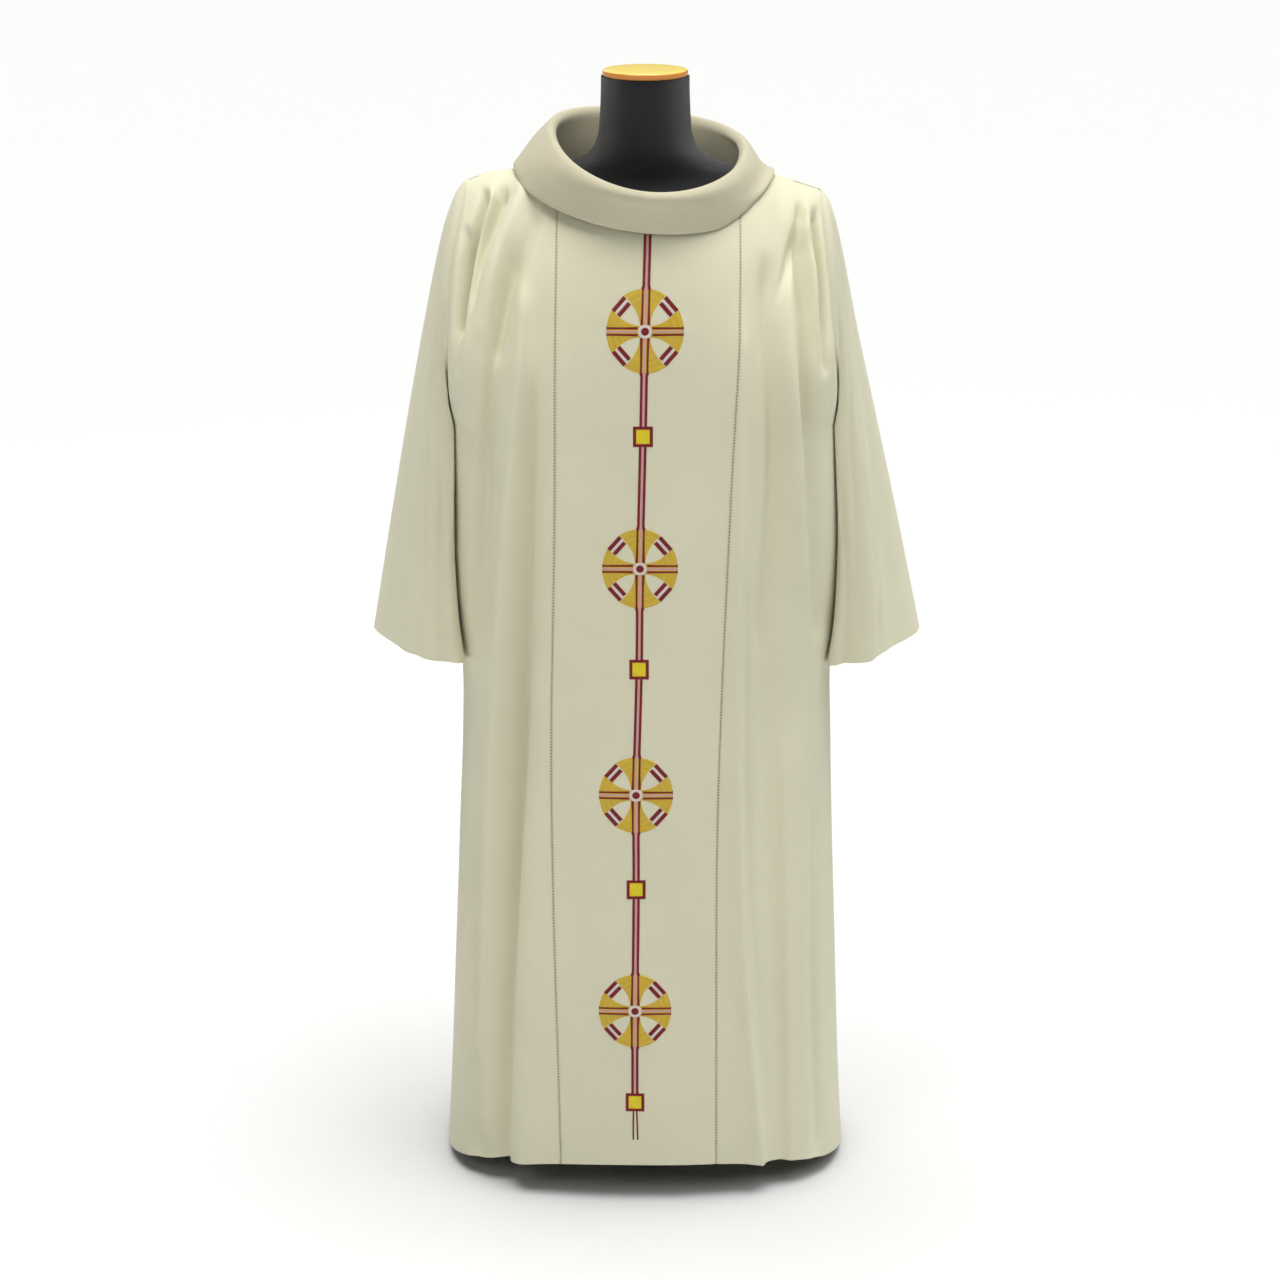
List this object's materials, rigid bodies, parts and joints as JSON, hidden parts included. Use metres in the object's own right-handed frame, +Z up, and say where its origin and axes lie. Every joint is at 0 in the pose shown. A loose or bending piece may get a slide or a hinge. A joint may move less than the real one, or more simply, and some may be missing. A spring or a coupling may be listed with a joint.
{
  "type": "dalmatic on dress form",
  "caption": "Liturgical tunic with wide sleeves, a cowl collar and an embroidered centre front, on a limbless dress form.",
  "frame": {"origin": "on the floor, on the axis of the dress form's pole", "axes": "+Z up, -Y is the garment's front, +X is the wearer's left"},
  "size_m": [0.75, 0.3939, 1.5345],
  "materials": {
    "cloth": "matte",
    "jersey": "matte",
    "wood": "satin",
    "steel": "satin"
  },
  "bodies": {
    "root": {"front_center_panel": "cloth", "front_side_panel_right": "cloth", "front_side_panel_left": "cloth", "back_panel": "cloth", "sleeve_right": "cloth", "sleeve_left": "cloth", "collar": "cloth", "torso": "jersey", "neck_cap": "wood", "pole": "steel", "base": "steel"}
  },
  "joints": []
}
